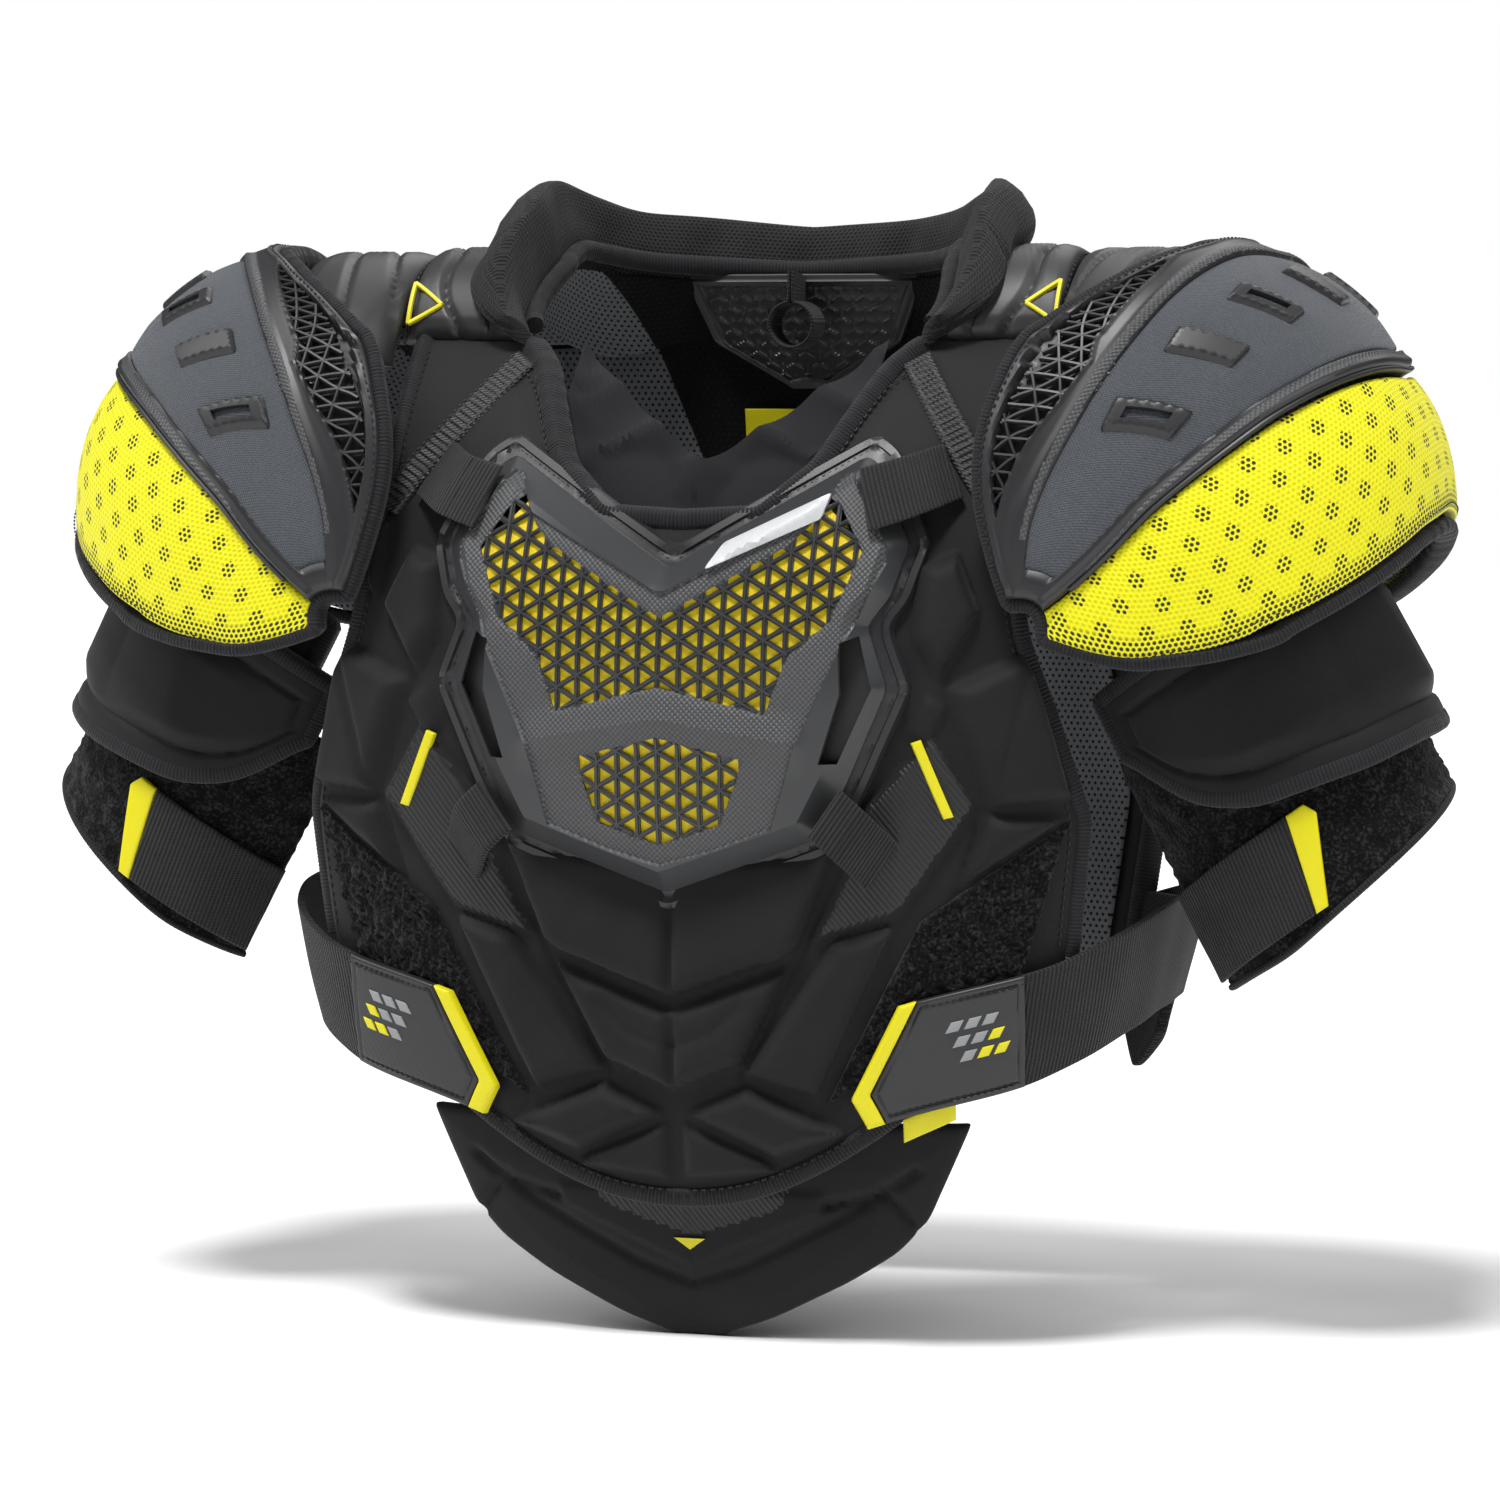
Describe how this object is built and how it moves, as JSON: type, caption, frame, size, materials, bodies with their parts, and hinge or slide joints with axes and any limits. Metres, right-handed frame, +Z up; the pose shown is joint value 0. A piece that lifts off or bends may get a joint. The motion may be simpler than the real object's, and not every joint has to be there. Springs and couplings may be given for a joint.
{
  "type": "hockey shoulder pads",
  "caption": "Ice hockey shoulder pads with a moulded sternum guard, yellow mesh shoulder caps, hanging arm guards and a removable belly extension.",
  "frame": {"origin": "middle of the wearer's shoulder line, under the neck opening", "axes": "+Z is up, -Y is the front of the chest, +X is the wearer's left"},
  "size_m": [0.628, 0.2609, 0.4971],
  "materials": {
    "black_foam_fabric": "matte brushed knit over moulded foam",
    "charcoal_mesh_fabric": "spacer mesh",
    "grey_woven_fabric": "coarse woven nylon",
    "yellow_mesh": "bright perforated mesh",
    "black_loop_fabric": "brushed loop pile",
    "black_elastic": "ribbed elastic webbing",
    "black_binding": "ribbed binding tape with a stitch line",
    "moulded_plastic": "satin moulded with knurled fields",
    "black_rubber": "satin moulded rubber",
    "yellow_foam": "closed cell foam",
    "yellow_rubber": "satin welded film",
    "white_badge": "satin welded film",
    "grey_liner": "perforated lining"
  },
  "bodies": {
    "root": {"front_vest": "black_foam_fabric", "front_lining": "grey_liner", "rib_pads": "black_foam_fabric", "abdomen_pads": "black_foam_fabric", "loop_patches": "black_loop_fabric", "hem_binding": "black_binding", "armhole_bindings": "black_binding", "size_tag": "yellow_rubber", "neckline_gusset": "black_foam_fabric", "collar_pad": "charcoal_mesh_fabric", "collar_binding": "black_binding", "hang_loop": "black_binding", "clavicle_pad_left": "charcoal_mesh_fabric", "clavicle_pad_right": "charcoal_mesh_fabric", "shoulder_bridge_left": "black_rubber", "shoulder_bridge_right": "black_rubber", "clavicle_bands": "black_rubber", "back_vest": "black_foam_fabric", "back_lining": "grey_liner", "spine_guard": "moulded_plastic", "inner_spine_pad": "black_rubber", "shoulder_liners": "grey_liner", "scapula_pads": "black_foam_fabric", "lower_back_pads": "black_foam_fabric", "back_wings": "charcoal_mesh_fabric", "belly_strap_left": "black_elastic", "belly_strap_right": "black_elastic", "inner_label": "yellow_rubber"},
    "sternum": {"sternum_backer": "moulded_plastic", "sternum_foam": "yellow_foam", "sternum_shell": "moulded_plastic", "sternum_badge": "white_badge", "sternum_straps_upper": "black_elastic", "sternum_straps_lower": "black_elastic"},
    "extension": {"extension_pad": "black_foam_fabric", "extension_strip": "black_loop_fabric"},
    "belly_flap_left": {"belly_tab_left": "black_rubber", "belly_tab_edge_left": "yellow_rubber"},
    "cap_left": {"cap_frame_left": "black_rubber", "cap_fabric_left": "grey_woven_fabric", "cap_mesh_left": "yellow_mesh", "cap_liner_left": "grey_liner", "cap_binding_left": "black_binding"},
    "hanger_left": {"arm_hanger_left": "black_elastic"},
    "arm_left": {"bicep_pad_left": "black_foam_fabric", "arm_wrap_left": "black_loop_fabric"},
    "arm_band_left": {"arm_strap_left": "black_elastic", "arm_tab_left": "yellow_rubber"},
    "belly_flap_right": {"belly_tab_right": "black_rubber", "belly_tab_edge_right": "yellow_rubber"},
    "cap_right": {"cap_frame_right": "black_rubber", "cap_fabric_right": "grey_woven_fabric", "cap_mesh_right": "yellow_mesh", "cap_liner_right": "grey_liner", "cap_binding_right": "black_binding"},
    "hanger_right": {"arm_hanger_right": "black_elastic"},
    "arm_right": {"bicep_pad_right": "black_foam_fabric", "arm_wrap_right": "black_loop_fabric"},
    "arm_band_right": {"arm_strap_right": "black_elastic", "arm_tab_right": "yellow_rubber"}
  },
  "joints": [
    {"name": "sternum_float", "type": "slide", "parent": "root", "child": "sternum", "axis": [0, -1, 0], "range_m": [0, 0.01], "stiffness_N_per_m": 400},
    {"name": "extension_fold", "type": "hinge", "parent": "root", "child": "extension", "pos_m": [0, -0.092, -0.338], "axis": [1, 0, 0], "range_deg": [0, 25]},
    {"name": "cap_lift_left", "type": "hinge", "parent": "root", "child": "cap_left", "pos_m": [0.206, 0, 0.03], "axis": [0, -1, 0], "range_deg": [0, 45]},
    {"name": "arm_lift_left", "type": "hinge", "parent": "cap_left", "child": "hanger_left", "pos_m": [0.238, -0.024, -0.002], "axis": [0, -1, 0], "range_deg": [0, 8]},
    {"name": "arm_swing_left", "type": "hinge", "parent": "hanger_left", "child": "arm_left", "pos_m": [0.266, -0.024, -0.09], "axis": [1, 0, 0], "range_deg": [-12, 6]},
    {"name": "arm_band_peel_left", "type": "hinge", "parent": "arm_left", "child": "arm_band_left", "pos_m": [0.20654, -0.04125, -0.2497], "axis": [0.4695, 0, -0.8829], "range_deg": [0, 60]},
    {"name": "belly_flap_peel_left", "type": "hinge", "parent": "root", "child": "belly_flap_left", "pos_m": [0.1513, -0.0969, -0.2913], "axis": [0.1835, -0.0689, 0.9806], "range_deg": [0, 80]},
    {"name": "cap_lift_right", "type": "hinge", "parent": "root", "child": "cap_right", "pos_m": [-0.206, 0, 0.03], "axis": [0, 1, 0], "range_deg": [0, 45]},
    {"name": "arm_lift_right", "type": "hinge", "parent": "cap_right", "child": "hanger_right", "pos_m": [-0.238, -0.024, -0.002], "axis": [0, 1, 0], "range_deg": [0, 8]},
    {"name": "arm_swing_right", "type": "hinge", "parent": "hanger_right", "child": "arm_right", "pos_m": [-0.266, -0.024, -0.09], "axis": [1, 0, 0], "range_deg": [-12, 6]},
    {"name": "arm_band_peel_right", "type": "hinge", "parent": "arm_right", "child": "arm_band_right", "pos_m": [-0.20654, -0.04125, -0.2497], "axis": [0.4695, 0, 0.8829], "range_deg": [0, 60]},
    {"name": "belly_flap_peel_right", "type": "hinge", "parent": "root", "child": "belly_flap_right", "pos_m": [-0.1513, -0.0969, -0.2913], "axis": [0.1835, 0.0689, -0.9806], "range_deg": [0, 80]}
  ]
}
